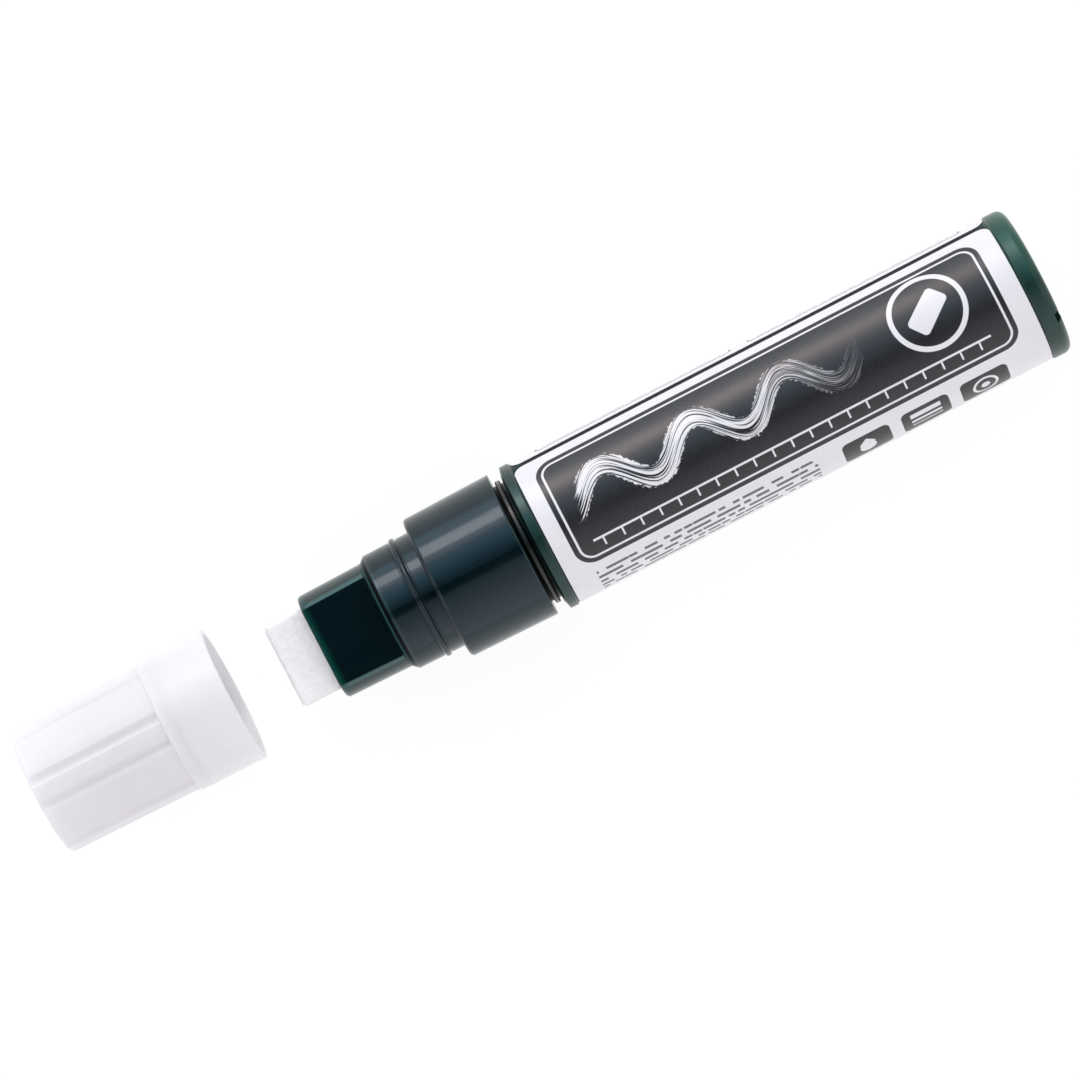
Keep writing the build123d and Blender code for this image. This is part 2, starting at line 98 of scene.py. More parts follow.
top_out = add_node(tree, "ShaderNodeOutputMaterial")
tree.links.new(top_mix.outputs[0], top_out.inputs["Surface"])
table.data.materials.append(table_top)

# Tent: white cloth on frames round the table, with a dark gap overhead for the camera. Its light is
# given by lean, in degrees from straight up, with the far side, towards +Y, as plus. Its end walls
# stand across the marker's length, and have a dark gap too.
tent_light = (
    (-90, (1.4, 1.3, 1.3)),
    (-60, (1.2, 1.12, 1.15)),
    (-40, (0.86, 0.82, 0.92)),
    (-20, (0.5, 0.52, 0.58)),
    (-15, (0.45, 0.48, 0.54)),
    (-12, (0.004, 0.004, 0.004)),
    (1, (0.004, 0.004, 0.004)),
    (13, (0.33, 0.52, 0.69)),
    (22, (0.45, 0.81, 1.0)),
    (31, (0.8, 1.2, 1.4)),
    (40, (1.25, 1.47, 1.67)),
    (45, (2.3, 2.25, 2.4)),
    (51, (2.3, 2.25, 2.4)),
    (60, (1.69, 1.86, 2.11)),
    (82, (1.69, 1.94, 2.2)),
    (90, (1.18, 1.35, 1.4)),
)
lowest_lean = math.radians(-90)
highest_lean = math.radians(90)
end_wall_from = 0.18
end_wall_full = 0.34
end_wall_reach = 0.5
end_wall_light = (1.1, 1.06, 1.07, 1)
end_gap_light = (0.03, 0.03, 0.03, 1)


def coordinates(tree, place):
    """The X, Y and Z of a place or a direction."""
    parts = add_node(tree, "ShaderNodeSeparateXYZ")
    tree.links.new(place, parts.inputs[0])
    return parts.outputs


def between(tree, share, low, high, first, last):
    """A value that goes from first to last while the share goes from low to high."""
    span = add_node(tree, "ShaderNodeMapRange")
    span.inputs["From Min"].default_value = low
    span.inputs["From Max"].default_value = high
    span.inputs["To Min"].default_value = first
    span.inputs["To Max"].default_value = last
    tree.links.new(share, span.inputs["Value"])
    return span.outputs[0]


def shades(tree, share, *stops):
    """Colours laid out along a share that runs from 0 to 1."""
    ramp = add_node(tree, "ShaderNodeValToRGB")
    ramp.color_ramp.elements[0].position, ramp.color_ramp.elements[0].color = stops[0]
    ramp.color_ramp.elements[1].position, ramp.color_ramp.elements[1].color = stops[-1]
    for position, colour in stops[1:-1]:
        ramp.color_ramp.elements.new(position).color = colour
    tree.links.new(share, ramp.inputs["Fac"])
    return ramp.outputs["Color"]


def laid_over(tree, cover, under, over):
    """A colour with another laid over it, as far as the cover says."""
    mix = add_node(tree, "ShaderNodeMix", data_type="RGBA")
    tree.links.new(cover, mix.inputs["Factor"])
    for name, colour in (("A", under), ("B", over)):
        if isinstance(colour, tuple):
            mix.inputs[name].default_value = colour
        else:
            tree.links.new(colour, mix.inputs[name])
    return mix.outputs["Result"]


studio = bpy.data.worlds.new("studio")
studio.use_nodes = True
bpy.context.scene.world = studio
tree = studio.node_tree
outlook = coordinates(tree, add_node(tree, "ShaderNodeTexCoord").outputs["Generated"])
lean = reckon(tree, "ARCTAN2", outlook["Y"], outlook["Z"])
tent = shades(
    tree,
    between(tree, lean, lowest_lean, highest_lean, 0, 1),
    *(((90 + degrees) / 180, (*light, 1)) for degrees, light in tent_light),
)
end_walls = shades(
    tree,
    between(tree, outlook["Y"], -end_wall_reach, end_wall_reach, 0, 1),
    (0.38, end_wall_light),
    (0.43, end_gap_light),
    (0.54, end_gap_light),
    (0.59, end_wall_light),
)
endways = reckon(tree, "ABSOLUTE", outlook["X"])
end_share = between(tree, endways, end_wall_from, end_wall_full, 0, 1)
tree.links.new(laid_over(tree, end_share, tent, end_walls), tree.nodes["Background"].inputs["Color"])

# Softbox: a warm lamp with a square cloth front, on the far side of the table, which gives the long
# sheen on the marker. It leans towards the middle of the barrel, at the height of the marker's axis.
axis_height = 0.0132549
softbox_aim = Vector((0.03, 0, axis_height))
softbox_lean = math.radians(60)
softbox_distance = 0.8
softbox_length = 0.26
softbox_width = 0.25
softbox_colour = (1.0, 0.8, 0.72)
softbox_power = 0.96
softbox_way = Vector((0, math.sin(softbox_lean), math.cos(softbox_lean)))
bpy.ops.object.light_add(type="AREA", location=softbox_aim + softbox_distance * softbox_way)
softbox = bpy.context.object
softbox.name = "softbox"
softbox.rotation_euler = (-softbox_way).to_track_quat("-Z", "Y").to_euler()
softbox.data.shape = "RECTANGLE"
softbox.data.size = softbox_length
softbox.data.size_y = softbox_width
softbox.data.color = softbox_colour
softbox.data.energy = softbox_power

# View: the camera hangs about a metre over the front of the barrel and looks down at the middle of the
# whole length. It is turned so that the marker runs from the lower left to the upper right.
view_distance = 0.95
view_foot = 0.017
view_side = -0.0007
view_turn = math.radians(-27.33)
view_width = 0.1812
nearest_seen = 0.05
bpy.ops.object.camera_add(location=(view_foot, view_side, axis_height + view_distance))
camera = bpy.context.object
camera.name = "view"
camera.rotation_mode = "ZYX"
camera.rotation_euler = (0, math.atan2(view_foot, view_distance), view_turn)
camera.data.lens = camera.data.sensor_width * view_distance / view_width
camera.data.clip_start = nearest_seen
bpy.context.scene.camera = camera

# Barrel: a blow-moulded bottle of dark bottle-green plastic, glossy on its beads and a little greener
# towards its closed end. A painted glow makes the heel greener still on its far side, towards +Y, where
# the softbox is. The panel under the label, seen only in the gap of the label's seam, has painted shade:
# a darker colour and a lower sheen. The floor of the groove in front has painted shade too: it is
# painted black and dulled. The label lies in the panel, and the holder snaps on to the neck.
barrel_front = -0.014
groove_front = -0.006
barrel_rear = 0.094
heel_front = 0.0885
heel_full = 0.0925
glow_from = -0.001
glow_full = 0.009
# Painted shade: the groove's floor and the panel seen in the label's seam are painted dark; the beads
# keep the plastic's own green.
groove_shade_green = (0.0004, 0.0012, 0.0012, 1)
bead_green = (0.002, 0.018, 0.014, 1)
seam_shade_green = (0.0005, 0.004, 0.0035, 1)
heel_green = (0.003, 0.016, 0.012, 1)
rear_green = (0.004, 0.024, 0.016, 1)
painted_glow_green = (0.004, 0.06, 0.036, 1)
glossy = (0.54, 0.54, 0.54, 1)
seam_shade_dulled = (0.08, 0.08, 0.08, 1)
dull = (0.03, 0.03, 0.03, 1)
thin_cloud = 0.3
full_cloud = 0.7


def dress(node, material):
    """Puts a material on a CAD node."""
    solids[node].data.materials.clear()
    solids[node].data.materials.append(material)


def new_finish(name):
    """A new material, with its tree, its shader and the piece's own coordinates."""
    material = bpy.data.materials.new(name)
    material.use_nodes = True
    tree = material.node_tree
    place = add_node(tree, "ShaderNodeTexCoord")
    return material, tree, tree.nodes["Principled BSDF"], place.outputs["Object"]


def mottle(tree, place, scale, detail, stretch=(1, 1, 1)):
    """A cloudy pattern, drawn out along an axis by a stretch below 1."""
    drawn = add_node(tree, "ShaderNodeMapping")
    drawn.inputs["Scale"].default_value = stretch
    tree.links.new(place, drawn.inputs["Vector"])
    cloud = add_node(tree, "ShaderNodeTexNoise")
    cloud.inputs["Scale"].default_value = scale
    cloud.inputs["Detail"].default_value = detail
    tree.links.new(drawn.outputs[0], cloud.inputs["Vector"])
    return cloud.outputs["Fac"]


def polish(tree, shader, cloud, smoothest, roughest):
    """A roughness that follows a cloudy pattern."""
    roughness = between(tree, cloud, thin_cloud, full_cloud, smoothest, roughest)
    tree.links.new(roughness, shader.inputs["Roughness"])


def skin(tree, shader, cloud, depth, edge):
    """The fine relief of a moulded skin, over edges softened by a small radius."""
    soft_edge = add_node(tree, "ShaderNodeBevel", samples=6)
    soft_edge.inputs["Radius"].default_value = edge
    bump = add_node(tree, "ShaderNodeBump")
    bump.inputs["Distance"].default_value = depth
    tree.links.new(cloud, bump.inputs["Height"])
    tree.links.new(soft_edge.outputs[0], bump.inputs["Normal"])
    tree.links.new(bump.outputs[0], shader.inputs["Normal"])


def along(tree, place, start, end):
    """The share of the way from one station on the marker's length to another."""
    return between(tree, coordinates(tree, place)["X"], start, end, 0, 1)


bottle_green, tree, shader, place = new_finish("bottle_green")
wall_green_and_shade = shades(
    tree,
    along(tree, place, barrel_front, barrel_rear),
    (0.0, groove_shade_green),
    (0.12, groove_shade_green),
    (0.1225, bead_green),
    (0.15, bead_green),
    (0.17, seam_shade_green),
    (0.94, seam_shade_green),
    (0.955, heel_green),
    (1.0, rear_green),
)
# Painted glow: the heel is painted greener on its far side, towards +Y, as if the softbox lit it
# through.
softbox_side = between(tree, coordinates(tree, place)["Y"], glow_from, glow_full, 0, 1)
painted_heel_glow = reckon(tree, "MULTIPLY", softbox_side, along(tree, place, heel_front, heel_full))
tree.links.new(laid_over(tree, painted_heel_glow, wall_green_and_shade, painted_glow_green), shader.inputs["Base Color"])
flow = mottle(tree, place, scale=260, detail=3, stretch=(0.3, 1, 1))
polish(tree, shader, flow, smoothest=0.26, roughest=0.32)
skin(tree, shader, mottle(tree, place, scale=700, detail=2), depth=0.000004, edge=0.0002)
# Painted shade: the sheen is turned down in the groove and in the panel seen in the label's seam.
barrel_gloss = shades(
    tree,
    along(tree, place, groove_front, barrel_rear),
    (0.05, dull),
    (0.052, glossy),
    (0.0715, glossy),
    (0.0725, seam_shade_dulled),
    (0.9605, seam_shade_dulled),
    (0.9615, glossy),
)
tree.links.new(barrel_gloss, shader.inputs["Specular IOR Level"])
shader.inputs["IOR"].default_value = 1.54
shader.inputs["Specular Tint"].default_value = (0.66, 0.94, 0.92, 1)
dress("barrel", bottle_green)

# Label: a white plastic film with rounded corners, wrapped round the barrel and glued down, with a
# gap along the barrel where its ends meet. Its plain print is drawn in millimetres on the unrolled
# film: along the marker, and round it from the middle of the side that faces up.
label_radius = 13.085
mm_per_metre = 1000
printed_film, label_tree, film_shader, place = new_finish("printed_film")


def measure(operation, *values):
    """One step of arithmetic on measures of the print."""
    return reckon(label_tree, operation, *values)


def place_step(operation, first, second=(0, 0, 0)):
    """One step of arithmetic on places on the print."""
    step = add_node(label_tree, "ShaderNodeVectorMath", operation=operation)
    for socket, value in zip(step.inputs, (first, second)):
        if isinstance(value, tuple):
            socket.default_value = value
        else:
            label_tree.links.new(value, socket)
    return step.outputs["Value" if operation in ("LENGTH", "DISTANCE") else "Vector"]


def on_film(run, girth):
    """A place on the unrolled film."""
    film = add_node(label_tree, "ShaderNodeCombineXYZ")
    label_tree.links.new(run, film.inputs["X"])
    label_tree.links.new(girth, film.inputs["Y"])
    return film.outputs[0]


label_place = coordinates(label_tree, place)
run = measure("MULTIPLY", label_place["X"], mm_per_metre)
height_over_axis = measure("SUBTRACT", label_place["Z"], axis_height)
girth = measure("MULTIPLY", measure("ARCTAN2", label_place["Y"], height_over_axis), label_radius)
spot = on_film(run, girth)


def block(middle_run, middle_girth, long, wide, corner=0.1, turn=0):
    """How far outside a rounded rectangle a place lies."""
    shift = place_step("SUBTRACT", spot, (middle_run, middle_girth, 0))
    if turn:
        turned = add_node(label_tree, "ShaderNodeVectorRotate", rotation_type="Z_AXIS")
        turned.inputs["Angle"].default_value = math.radians(-turn)
        label_tree.links.new(shift, turned.inputs["Vector"])
        shift = turned.outputs[0]
    folded = place_step("ABSOLUTE", shift)
    beyond = place_step("SUBTRACT", folded, (long / 2 - corner, wide / 2 - corner, 0))
    return measure("SUBTRACT", place_step("LENGTH", place_step("MAXIMUM", beyond)), corner)


def disc(middle_run, middle_girth, radius):
    """How far outside a disc a place lies."""
    return measure("SUBTRACT", place_step("DISTANCE", spot, (middle_run, middle_girth, 0)), radius)


def rule(edge, inset, width):
    """How far outside a line a place lies, where the line follows an edge at an inset."""
    return measure("SUBTRACT", measure("ABSOLUTE", measure("ADD", edge, inset)), width / 2)


def stripe(turns, half_width, blur):
    """Cover of evenly spaced lines, one to each whole turn."""
    from_middle = measure("ABSOLUTE", measure("SUBTRACT", measure("FRACT", turns), 0.5))
    return inked(measure("SUBTRACT", from_middle, half_width), blur)


def inked(outside, blur=0.05):
    """Cover of ink: full inside an edge, none outside it."""
    return between(label_tree, outside, blur, -blur, 0, 1)


def either(*covers):
    """Cover of several marks together."""
    total = covers[0]
    for cover in covers[1:]:
        total = measure("MAXIMUM", total, cover)
    return total


def both(*covers):
    """Cover that several marks share."""
    total = covers[0]
    for cover in covers[1:]:
        total = measure("MULTIPLY", total, cover)
    return total


# The print's charcoal: a long panel with a rule inside its edge, three tiles under it, outlined boxes
# past the gap, and rows of broken bars in place of small print.
tile_runs = (56.0, 67.0, 78.0)
tile_girth = -14.6
bar_pitch = 1.5
bar_half_width = 0.24
word_pace = 0.55
row_shift = 17.3
panel = block(45.4, 1.6, 82.4, 21.0, corner=3.4)
tiles = [block(tile_run, tile_girth, 8.8, 6.6, corner=1.1) for tile_run in tile_runs]
boxes = [
    block(24.5, 21.6, 37.0, 8.6, corner=1.2),
    block(66.0, 21.6, 40.0, 8.6, corner=1.2),
    block(45.4, -30.0, 78.0, 12.0, corner=1.6),
]
row = measure("DIVIDE", girth, bar_pitch)
word_place = measure(
    "ADD", measure("MULTIPLY", run, word_pace), measure("MULTIPLY", measure("FLOOR", row), row_shift)
)
word = add_node(label_tree, "ShaderNodeTexNoise", noise_dimensions="1D")
word.inputs["Scale"].default_value = 1.0
word.inputs["Detail"].default_value = 0.0
label_tree.links.new(word_place, word.inputs["W"])
words = between(label_tree, word.outputs["Fac"], 0.4, 0.44, 0, 1)
bar_fields = either(
    inked(block(26.5, tile_girth, 41.0, 7.2)),
    inked(block(24.5, 21.6, 33.0, 5.8)),
    inked(block(66.0, 21.6, 36.0, 5.8)),
    inked(block(45.4, -30.0, 72.0, 8.6)),
)
small_print = both(stripe(row, bar_half_width, blur=0.04), words, bar_fields)
charcoal_cover = either(
    inked(panel),
    *(inked(tile) for tile in tiles),
    *(inked(rule(box, inset=0.2, width=0.35)) for box in boxes),
)

# The print's white on charcoal: a broad chalk stroke that waves along the panel and runs dry, a ring
# with a slanted block in it, a scale of ticks, and a sign in each tile.
wave_start = 10.0
wave_length = 17.0
wave_height = 3.0
wave_girth = 3.0
stroke_half_width = 1.75
stroke_crumble = 1.5
stroke_fray = 14.0
tick_start = 8.0
tick_pitch = 3.5
tick_half_width = 0.045
ring_run = 74.5
ring_girth = 3.6
drop_run, lines_run, target_run = tile_runs
wave_turn = measure("MULTIPLY", measure("SUBTRACT", run, wave_start), 2 * math.pi / wave_length)
wave_middle = measure("ADD", measure("MULTIPLY", measure("SINE", wave_turn), wave_height), wave_girth)
wave_slope = measure("MULTIPLY", measure("COSINE", wave_turn), wave_height * 2 * math.pi / wave_length)
wave_across = measure("SUBTRACT", girth, wave_middle)
wave_stretch = measure("SQRT", measure("ADD", measure("MULTIPLY", wave_slope, wave_slope), 1.0))
wave_off = measure("DIVIDE", measure("ABSOLUTE", wave_across), wave_stretch)
crumble = mottle(label_tree, spot, scale=1.6, detail=4)
crumbled = measure("MULTIPLY", measure("SUBTRACT", crumble, 0.5), stroke_crumble)
stroke_edge = measure("SUBTRACT", measure("ADD", wave_off, crumbled), stroke_half_width)
bristle = mottle(label_tree, on_film(run, wave_across), scale=1.0, detail=3, stretch=(0.07, 2.6, 1))
dryness = between(label_tree, run, wave_start, 62.0, 0.2, 0.56)
frayed = measure("MULTIPLY", measure("SUBTRACT", bristle, 0.5), stroke_fray)
stroke_ends = measure("ADD", block(36.0, wave_girth, 52.0, 30.0, corner=0.5), frayed)
chalk = both(
    inked(stroke_edge, blur=0.12),
    inked(measure("SUBTRACT", dryness, bristle)),
    inked(stroke_ends, blur=0.3),
)
tick = measure("DIVIDE", measure("SUBTRACT", run, tick_start), tick_pitch)
white_cover = either(
    chalk,
    both(stripe(tick, tick_half_width, blur=0.012), inked(block(45.0, -5.9, 73.5, 1.5))),
    inked(block(45.0, -5.0, 74.0, 0.4)),
    inked(rule(panel, inset=1.1, width=0.4)),
    inked(rule(disc(ring_run, ring_girth, 6.4), inset=0.0, width=0.9)),
    inked(block(ring_run, ring_girth, 7.6, 4.0, corner=0.8, turn=38)),
    inked(block(drop_run, -13.9, 2.2, 2.2, corner=0.3, turn=45)),
    inked(disc(drop_run, -15.0, 1.5)),
    inked(block(lines_run, -13.0, 5.6, 1.2)),
    inked(block(lines_run, -14.7, 5.6, 0.7)),
    inked(block(lines_run, -16.0, 5.6, 0.35)),
    inked(rule(disc(target_run, tile_girth, 2.1), inset=0.0, width=0.5)),
    inked(disc(target_run, tile_girth, 0.8)),
)

# The print's inks: charcoal on the white film, grey in the small bars, and the film left bare where
# the print is white. The charcoal makes the film a little smoother.
small_print_grey = (0.12, 0.12, 0.125, 1)
bare_roughness = 0.34
charcoal_roughness = 0.31
film_white = shades(
    label_tree,
    mottle(label_tree, place, scale=120, detail=2),
    (thin_cloud, (0.78, 0.78, 0.815, 1)),
    (full_cloud, (0.82, 0.82, 0.845, 1)),
)
charcoal = shades(
    label_tree,
    mottle(label_tree, place, scale=1800, detail=3),
    (0.35, (0.011, 0.011, 0.013, 1)),
    (0.65, (0.017, 0.017, 0.019, 1)),
)
charcoal_printed = laid_over(label_tree, charcoal_cover, film_white, charcoal)
grey_printed = laid_over(label_tree, small_print, charcoal_printed, small_print_grey)
all_printed = laid_over(label_tree, white_cover, grey_printed, film_white)
label_tree.links.new(all_printed, film_shader.inputs["Base Color"])
film_roughness = between(label_tree, charcoal_cover, 0, 1, bare_roughness, charcoal_roughness)
label_tree.links.new(film_roughness, film_shader.inputs["Roughness"])
film_shader.inputs["Specular IOR Level"].default_value = 0.56
film_grain = mottle(label_tree, place, scale=900, detail=3)
skin(label_tree, film_shader, film_grain, depth=0.000004, edge=0.0001)
dress("label", printed_film)

# Ink: opaque white pigment stirred into water, poured in through the barrel's neck. It lies in the lower
# half of the barrel with a level top, wet and glossy.


def clouded(tree, shader, cloud, darkest, lightest):
    """A colour that follows a cloudy pattern."""
    tint = shades(tree, cloud, (thin_cloud, (*darkest, 1)), (full_cloud, (*lightest, 1)))
    tree.links.new(tint, shader.inputs["Base Color"])


chalk_ink, tree, shader, place = new_finish("chalk_ink")
settling = mottle(tree, place, scale=90, detail=4)
clouded(tree, shader, settling, darkest=(0.82, 0.82, 0.8), lightest=(0.9, 0.9, 0.88))
polish(tree, shader, settling, smoothest=0.12, roughest=0.2)
dress("ink", chalk_ink)

# Mixing balls: two loose balls of steel, ground and polished, dropped in through the barrel's neck. They
# roll along the barrel's wall and stir the pigment when the marker is shaken.
ball_steel, tree, shader, place = new_finish("ball_steel")
wear = mottle(tree, place, scale=1500, detail=4)
clouded(tree, shader, wear, darkest=(0.6, 0.6, 0.61), lightest=(0.72, 0.72, 0.73))
polish(tree, shader, wear, smoothest=0.08, roughest=0.18)
shader.inputs["Metallic"].default_value = 1.0
dress("mixing_ball_1", ball_steel)
dress("mixing_ball_2", ball_steel)

# Valve case: a cup moulded in natural plastic, milky and a little translucent. It is clamped by its
# flange between the holder and the barrel's neck, and the valve works inside it.
natural_plastic, tree, shader, place = new_finish("natural_plastic")
milkiness = mottle(tree, place, scale=350, detail=3)
clouded(tree, shader, milkiness, darkest=(0.66, 0.66, 0.61), lightest=(0.75, 0.75, 0.71))
polish(tree, shader, milkiness, smoothest=0.32, roughest=0.45)
shader.inputs["Subsurface Weight"].default_value = 0.2
shader.inputs["Subsurface Radius"].default_value = (1.0, 1.0, 0.8)
shader.inputs["Subsurface Scale"].default_value = 0.001
skin(tree, shader, mottle(tree, place, scale=2200, detail=2), depth=0.000005, edge=0.00015)
dress("valve_case", natural_plastic)

# Valve seat: a ring of black rubber with a dull, slightly bloomed face, laid in the front of the valve
# case. The valve closes against it and holds the ink back.
seal_rubber, tree, shader, place = new_finish("seal_rubber")
bloom = mottle(tree, place, scale=900, detail=4)
clouded(tree, shader, bloom, darkest=(0.008, 0.008, 0.008), lightest=(0.022, 0.022, 0.022))
polish(tree, shader, bloom, smoothest=0.6, roughest=0.78)
skin(tree, shader, mottle(tree, place, scale=3500, detail=3), depth=0.000006, edge=0.0001)
dress("valve_seat", seal_rubber)

# Valve stem: the valve's poppet with its stem, moulded in one in the case's natural plastic. The nib
# carrier pushes it back, off the seat, and the spring brings it forward again.
dress("valve_stem", natural_plastic)

# Valve spring: a coil of stainless wire round the stem, drawn, so its sheen has fine streaks. It is
# worked from the wire's round section and screwed round the marker's axis. In the marker, the poppet
# shortens it against the spring stop when the nib is pressed.
wire_radius = 0.00035
wire_sides = 12
coil_radius = 0.0036
coil_turns = 6
steps_per_turn = 40
smooth_angle = math.radians(40)
spring_low, spring_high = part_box("valve_spring")
spring_length = spring_high.x - spring_low.x
bpy.ops.object.select_all(action="DESELECT")
bpy.ops.mesh.primitive_circle_add(
    vertices=wire_sides, radius=wire_radius, location=(spring_low.x + wire_radius, coil_radius, 0)
)
spring_coil = bpy.context.object
spring_coil.name = "spring_coil"
bpy.ops.object.transform_apply(location=True, rotation=True, scale=True)
winding = spring_coil.modifiers.new("winding", "SCREW")
winding.axis = "X"
winding.screw_offset = (spring_length - 2 * wire_radius) / coil_turns
winding.iterations = coil_turns
winding.steps = steps_per_turn
winding.render_steps = steps_per_turn
bpy.ops.object.modifier_apply(modifier=winding.name)
bpy.ops.object.mode_set(mode="EDIT")
bpy.ops.mesh.select_all(action="SELECT")
bpy.ops.mesh.fill_holes(sides=0)
bpy.ops.mesh.select_all(action="SELECT")
bpy.ops.mesh.normals_make_consistent(inside=False)
bpy.ops.transform.translate(value=(0, 0, axis_height))
bpy.ops.object.mode_set(mode="OBJECT")
bpy.ops.object.shade_smooth_by_angle(angle=smooth_angle)
spring_steel, tree, shader, place = new_finish("spring_steel")
drawing = mottle(tree, place, scale=2600, detail=4)
clouded(tree, shader, drawing, darkest=(0.42, 0.42, 0.43), lightest=(0.58, 0.58, 0.59))
polish(tree, shader, drawing, smoothest=0.22, roughest=0.38)
shader.inputs["Metallic"].default_value = 1.0
spring_coil.data.materials.append(spring_steel)
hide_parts("valve_spring")
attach(spring_coil, "marker")
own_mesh(spring_coil)

# Spring stop: a pierced plug of the same natural plastic, pressed into the rear end of the valve case.
# The spring stands against it, and the ink runs in through it.
dress("spring_stop", natural_plastic)

# Nib carrier: a cup of the same natural plastic that the felt is pressed into. It slides in the holder
# and carries the press of the nib on to the valve stem.
dress("nib_carrier", natural_plastic)

# Nib: a block of white polyester felt, cut to a blunt wedge and pressed into the carrier. It is worked
# from a block: cut across, narrowed towards the tip, its edges rounded, then remeshed finely and
# roughened with tufts and fibre ends.
wedge_length = 0.006
tip_share = 5.2 / 8.0
tip_reach = 0.0001
edge_rounding = 0.0008
edge_steps = 4
felt_mesh = 0.0002
felt_naps = (("tufts", 0.0009, 0.00016), ("fibre_ends", 0.00035, 0.0001))
nap_depth = 0.00012
felt_shade = (0.89, 0.885, 0.89, 1)
felt_white = (0.98, 0.975, 0.975, 1)
nib_low, nib_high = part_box("nib")
bpy.ops.object.select_all(action="DESELECT")
bpy.ops.mesh.primitive_cube_add(size=1, location=(nib_low + nib_high) / 2)
nib_felt = bpy.context.object
nib_felt.name = "nib_felt"
nib_felt.scale = nib_high - nib_low
bpy.ops.object.transform_apply(location=True, rotation=False, scale=True)
bpy.ops.object.mode_set(mode="EDIT")
bpy.ops.mesh.select_all(action="SELECT")
bpy.ops.mesh.bisect(plane_co=(nib_low.x + wedge_length, 0, 0), plane_no=(1, 0, 0))
bpy.ops.object.mode_set(mode="OBJECT")
for corner in nib_felt.data.vertices:
    corner.select = corner.co.x < nib_low.x + tip_reach
bpy.ops.object.mode_set(mode="EDIT")
bpy.ops.mesh.select_mode(type="VERT")
bpy.ops.transform.resize(value=(1, 1, tip_share), center_override=(nib_low.x, 0, axis_height))
bpy.ops.object.mode_set(mode="OBJECT")
rounding = nib_felt.modifiers.new("rounded_edges", "BEVEL")
rounding.width = edge_rounding
rounding.segments = edge_steps
bpy.ops.object.modifier_apply(modifier=rounding.name)
fine_mesh = nib_felt.modifiers.new("fine_mesh", "REMESH")
fine_mesh.mode = "VOXEL"
fine_mesh.voxel_size = felt_mesh
bpy.ops.object.modifier_apply(modifier=fine_mesh.name)
for name, grain, depth in felt_naps:
    nap = bpy.data.textures.new(name, "CLOUDS")
    nap.noise_scale = grain
    nap.noise_depth = 2
    roughening = nib_felt.modifiers.new(name, "DISPLACE")
    roughening.texture = nap
    roughening.texture_coords = "LOCAL"
    roughening.mid_level = 0.5
    roughening.strength = -depth
    bpy.ops.object.modifier_apply(modifier=roughening.name)
bpy.ops.object.shade_smooth()
white_felt, tree, shader, place = new_finish("white_felt")
fibres = mottle(tree, place, scale=2400, detail=4, stretch=(0.6, 1, 1))
matted = reckon(tree, "MULTIPLY", fibres, mottle(tree, place, scale=800, detail=3))
felt_tint = shades(tree, matted, (0.14, felt_shade), (0.36, felt_white))
tree.links.new(felt_tint, shader.inputs["Base Color"])
felt_roughness = between(tree, matted, 0.12, 0.36, 0.98, 0.85)
tree.links.new(felt_roughness, shader.inputs["Roughness"])
shader.inputs["Sheen Weight"].default_value = 0.25
shader.inputs["Specular IOR Level"].default_value = 0.2
nap_relief = add_node(tree, "ShaderNodeBump")
nap_relief.inputs["Distance"].default_value = nap_depth
tree.links.new(matted, nap_relief.inputs["Height"])
tree.links.new(nap_relief.outputs[0], shader.inputs["Normal"])
nib_felt.data.materials.append(white_felt)
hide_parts("nib")
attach(nib_felt, "nib_unit")

# Holder: nose, neck and collar in one moulding, in a green so dark that it looks black, with a satin
# gloss. Its colour carries painted light: a green glow at the front of the nose and on its sides,
# painted highlight lines along the edges of the flats, where the flats end, at the neck's front edge
# and on the collar's rear rim, and painted shade in the step behind the flats, whose sheen is turned
# down too. It snaps on to the barrel's neck.
nose_front = -0.0408
nose_rear = -0.0288
collar_rear = -0.0028
step_front = -0.03
step_rear = -0.025
flat_edge_low = 0.0050
flat_edge_high = 0.0062
moulding_green = (0.0007, 0.0062, 0.0085, 1)
painted_step_shade = (0.0005, 0.003, 0.005, 1)
painted_edge_highlight = (0.028, 0.085, 0.08, 1)
holder_green, tree, shader, place = new_finish("holder_green")
# Painted light along the holder: a green glow at the front of the nose, a painted glint where the flats
# end, painted shade in the step behind them, and painted highlight lines at the neck's front edge and on
# the collar's rear rim.
holder_green_and_painted_light = shades(
    tree,
    along(tree, place, nose_front, collar_rear),
    (0.0, (0.0008, 0.04, 0.03, 1)),
    (0.022, (0.0008, 0.04, 0.032, 1)),
    (0.036, (0.0007, 0.022, 0.02, 1)),
    (0.055, (0.0007, 0.009, 0.0105, 1)),
    (0.08, moulding_green),
    (0.317, moulding_green),
    (0.321, (0.03, 0.1, 0.096, 1)),
    (0.328, painted_step_shade),
    (0.342, painted_step_shade),
    (0.35, (0.014, 0.035, 0.034, 1)),
    (0.36, moulding_green),
    (0.988, moulding_green),
    (0.994, (0.011, 0.03, 0.026, 1)),
)
off_middle = reckon(tree, "SUBTRACT", coordinates(tree, place)["Z"], axis_height)
# Painted light round the nose: a little green glow on its sides and a painted highlight line on the
# rounded edges of its flats.
nose_painted_light = shades(
    tree,
    between(tree, reckon(tree, "ABSOLUTE", off_middle), flat_edge_low, flat_edge_high, 0, 1),
    (0.2, (0.0008, 0.012, 0.01, 1)),
    (0.5, painted_edge_highlight),
    (0.93, painted_edge_highlight),
    (0.95, moulding_green),
)
on_nose = shades(
    tree,
    along(tree, place, nose_front, nose_rear),
    (0.04, (0, 0, 0, 1)),
    (0.14, (1, 1, 1, 1)),
    (0.97, (1, 1, 1, 1)),
    (0.99, (0, 0, 0, 1)),
)
tree.links.new(laid_over(tree, on_nose, holder_green_and_painted_light, nose_painted_light), shader.inputs["Base Color"])
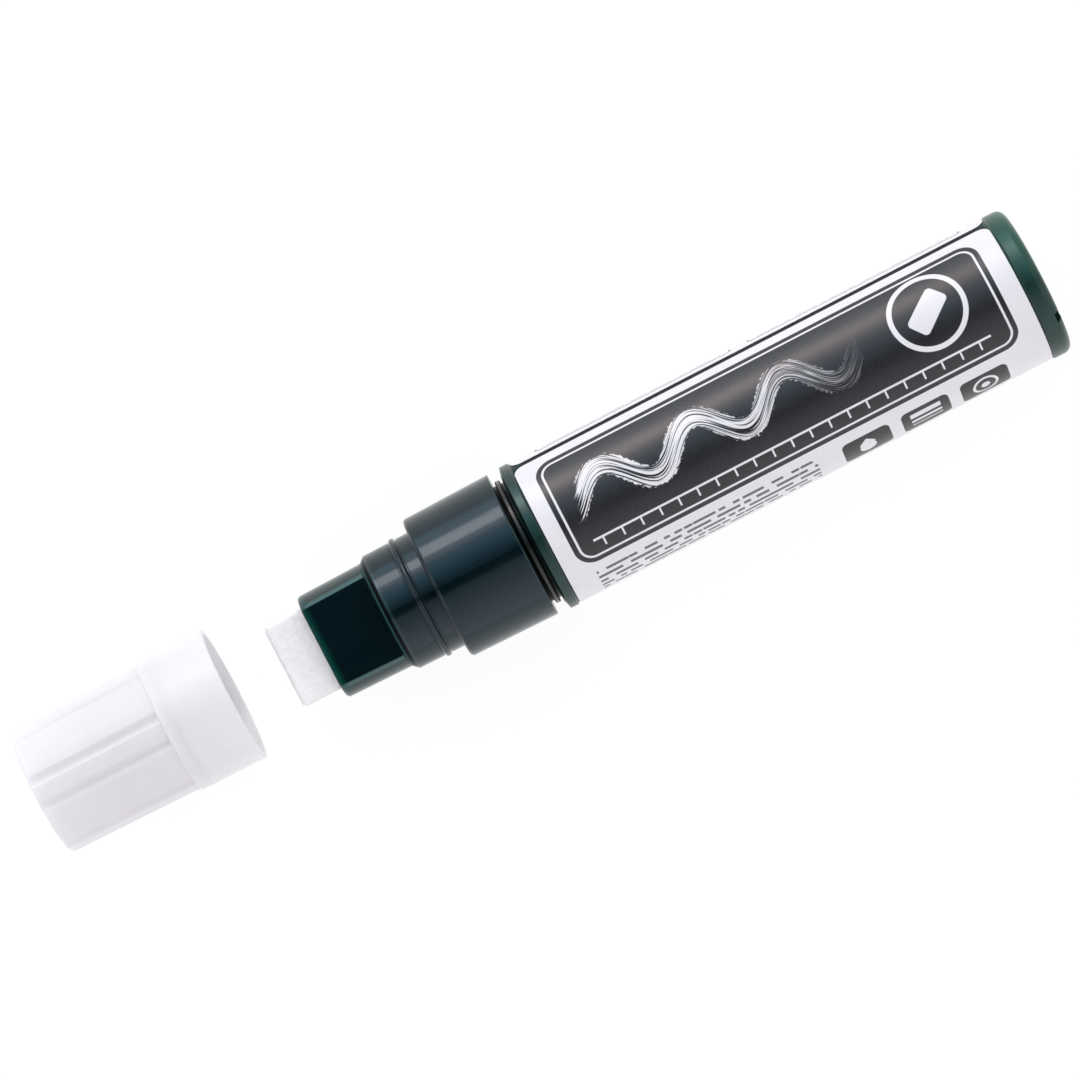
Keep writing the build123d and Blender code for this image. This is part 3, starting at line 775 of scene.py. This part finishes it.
# Painted shade: the sheen is turned down in the step behind the flats.
holder_gloss = shades(
    tree,
    along(tree, place, step_front, step_rear),
    (0.22, glossy),
    (0.26, dull),
    (0.43, dull),
    (0.47, glossy),
)
tree.links.new(holder_gloss, shader.inputs["Specular IOR Level"])
flow = mottle(tree, place, scale=300, detail=3, stretch=(0.3, 1, 1))
polish(tree, shader, flow, smoothest=0.13, roughest=0.19)
skin(tree, shader, mottle(tree, place, scale=900, detail=2), depth=0.000002, edge=0.00018)
shader.inputs["IOR"].default_value = 1.49
shader.inputs["Specular Tint"].default_value = (0.7, 0.88, 1.0, 1)
dress("holder", holder_green)

# Neck ring: a thin ring of glossy black plastic, slipped over the barrel's neck before the holder goes
# on. It lies in the groove between the collar and the barrel.
ring_black, tree, shader, place = new_finish("ring_black")
flow = mottle(tree, place, scale=500, detail=3)
clouded(tree, shader, flow, darkest=(0.006, 0.007, 0.007), lightest=(0.014, 0.015, 0.015))
polish(tree, shader, flow, smoothest=0.2, roughest=0.3)
skin(tree, shader, mottle(tree, place, scale=1800, detail=2), depth=0.000003, edge=0.0001)
dress("neck_ring", ring_black)

# Cap shell: a thin white moulding, fluted round its body and smooth on the band round its mouth, with
# a fine satin skin. The inside of the mouth is painted lighter, as painted light for what comes through
# the thin wall.
mouth_back = -0.0696
mouth_start = -0.0692
bore_depth = 0.00075
rim_depth = 0.00055
mouth_painted_light = (0.97, 0.97, 0.98, 1)
cap_low, cap_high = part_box("cap_shell")
mouth_radius = (cap_high.y - cap_low.y) / 2
cap_white, tree, shader, place = new_finish("cap_white")
clouding = mottle(tree, place, scale=180, detail=3)
wall_white = shades(
    tree,
    clouding,
    (thin_cloud, (0.845, 0.845, 0.885, 1)),
    (full_cloud, (0.875, 0.875, 0.905, 1)),
)
off_axis = add_node(tree, "ShaderNodeMapping")
off_axis.inputs["Location"].default_value = (0, 0, -axis_height)
off_axis.inputs["Scale"].default_value = (0, 1, 1)
tree.links.new(place, off_axis.inputs["Vector"])
cap_radius = add_node(tree, "ShaderNodeVectorMath", operation="LENGTH")
tree.links.new(off_axis.outputs[0], cap_radius.inputs[0])
# Painted light: the inside of the mouth is painted lighter, for light coming through the thin wall.
bore_side = between(
    tree, cap_radius.outputs["Value"], mouth_radius - bore_depth, mouth_radius - rim_depth, 1, 0
)
in_mouth = reckon(tree, "MULTIPLY", bore_side, along(tree, place, mouth_back, mouth_start))
tree.links.new(laid_over(tree, in_mouth, wall_white, mouth_painted_light), shader.inputs["Base Color"])
polish(tree, shader, clouding, smoothest=0.28, roughest=0.36)
shader.inputs["Subsurface Weight"].default_value = 0.6
shader.inputs["Subsurface Radius"].default_value = (1.0, 1.0, 1.05)
shader.inputs["Subsurface Scale"].default_value = 0.004
skin(tree, shader, mottle(tree, place, scale=1500, detail=2), depth=0.000004, edge=0.00015)
dress("cap_shell", cap_white)

# Inner cap: a liner of softer white plastic, moulded on its own and pressed into the end of the cap. It
# closes round the nose and keeps the felt wet.
liner_white, tree, shader, place = new_finish("liner_white")
clouding = mottle(tree, place, scale=260, detail=3)
clouded(tree, shader, clouding, darkest=(0.84, 0.84, 0.83), lightest=(0.9, 0.9, 0.89))
polish(tree, shader, clouding, smoothest=0.4, roughest=0.5)
skin(tree, shader, mottle(tree, place, scale=1800, detail=2), depth=0.000004, edge=0.00015)
dress("inner_cap", liner_white)
